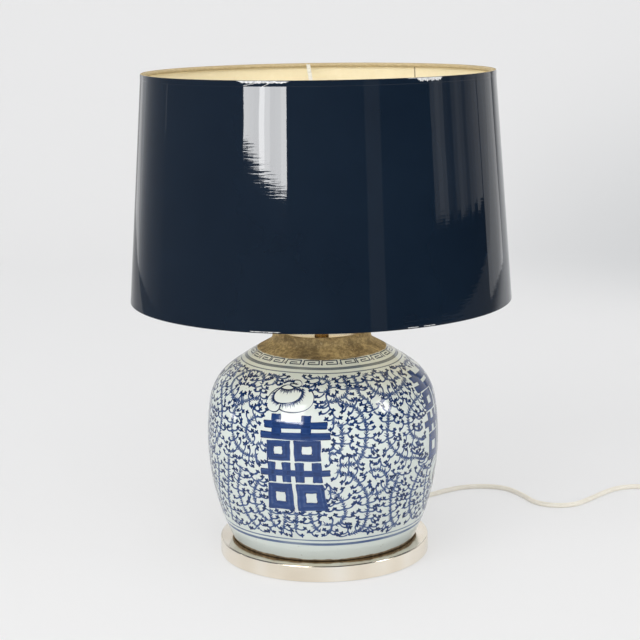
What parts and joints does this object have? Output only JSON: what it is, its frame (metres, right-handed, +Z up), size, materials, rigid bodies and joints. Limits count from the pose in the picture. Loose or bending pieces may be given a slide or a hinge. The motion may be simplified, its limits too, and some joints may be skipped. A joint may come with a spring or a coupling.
{
  "type": "ginger jar table lamp",
  "caption": "Table lamp made from a brush-painted porcelain ginger jar on a round silver-plated base, with a glossy dark navy drum shade on a harp and spider.",
  "frame": {"origin": "on the table, at the centre of the felt under the base plate, on the lamp's axis", "axes": "+Z up along the lamp's axis; -Y is the front of the lamp, where the painted emblem nearest the viewer is; +X is the viewer's right; the cord leaves the base plate towards +Y"},
  "size_m": [0.576, 0.358, 0.4492],
  "materials": {
    "plated_metal": "polished silver plate with a warm tint",
    "turned_wood": "bare turned wood",
    "felt": "dark felt",
    "porcelain": "clear pale blue-green glaze over brushed blue, bare and stained at the neck",
    "brass": "lacquered",
    "black_plastic": "moulded",
    "nickel_steel": "nickel-plated wire and sheet",
    "zinc_steel": "zinc-plated",
    "white_enamel": "glossy cream-white paint",
    "navy_laminate": "glossy near-black navy laminate with fine scratches",
    "cream_lining": "matte cream lining",
    "ring_trim": "beige tape wound on wire",
    "ivory_plastic": "moulded ivory plastic",
    "ivory_cord": "smooth ivory flexible sheath",
    "frosted_glass": "frosted inside"
  },
  "bodies": {
    "base": {"base_plate": "plated_metal", "base_block": "turned_wood", "base_felt": "felt", "cord_bushing": "ivory_plastic", "inner_cord": "ivory_cord", "rod_washer": "zinc_steel", "rod_nut": "zinc_steel", "threaded_rod": "zinc_steel", "foot_pad": "felt", "jar": "porcelain", "neck_cap": "plated_metal", "stem_tube": "brass", "holder_cap": "brass", "holder_shell": "brass", "holder_insert": "black_plastic", "holder_thread": "brass", "holder_contact": "brass", "harp_saddle": "nickel_steel", "harp_wire": "nickel_steel", "harp_sleeves": "nickel_steel", "harp_stud": "nickel_steel", "cord_to_switch": "ivory_cord", "switch_base": "ivory_plastic", "switch_cover": "ivory_plastic", "switch_screws": "zinc_steel", "cord_to_coil": "ivory_cord", "cord_coil": "ivory_cord", "cord_to_plug": "ivory_cord", "plug_body": "ivory_plastic", "plug_pins": "nickel_steel"},
    "bulb": {"bulb_cap": "nickel_steel", "bulb_base": "black_plastic", "bulb_glass": "frosted_glass"},
    "shade": {"spider": "white_enamel", "shade_wall": "navy_laminate", "shade_lining": "cream_lining", "top_ring": "ring_trim", "bottom_ring": "ring_trim", "top_edging": "navy_laminate", "bottom_edging": "navy_laminate"},
    "finial": {"finial": "brass"},
    "rocker": {"switch_rocker": "ivory_plastic"}
  },
  "joints": [
    {"name": "shade_turn", "type": "hinge", "parent": "base", "child": "shade", "pos_m": [0, 0, 0.4021], "axis": [0, 0, 1], "continuous": true},
    {"name": "finial_turn", "type": "hinge", "parent": "base", "child": "finial", "pos_m": [0, 0, 0.4075], "axis": [0, 0, 1], "range_deg": [0, 3240]},
    {"name": "bulb_turn", "type": "hinge", "parent": "base", "child": "bulb", "pos_m": [0, 0, 0.271], "axis": [0, 0, 1], "range_deg": [0, 1260]},
    {"name": "rocker_press", "type": "hinge", "parent": "base", "child": "rocker", "pos_m": [0.383, 0.051, 0.011], "axis": [-1, 0, 0], "range_deg": [0, 16]}
  ]
}
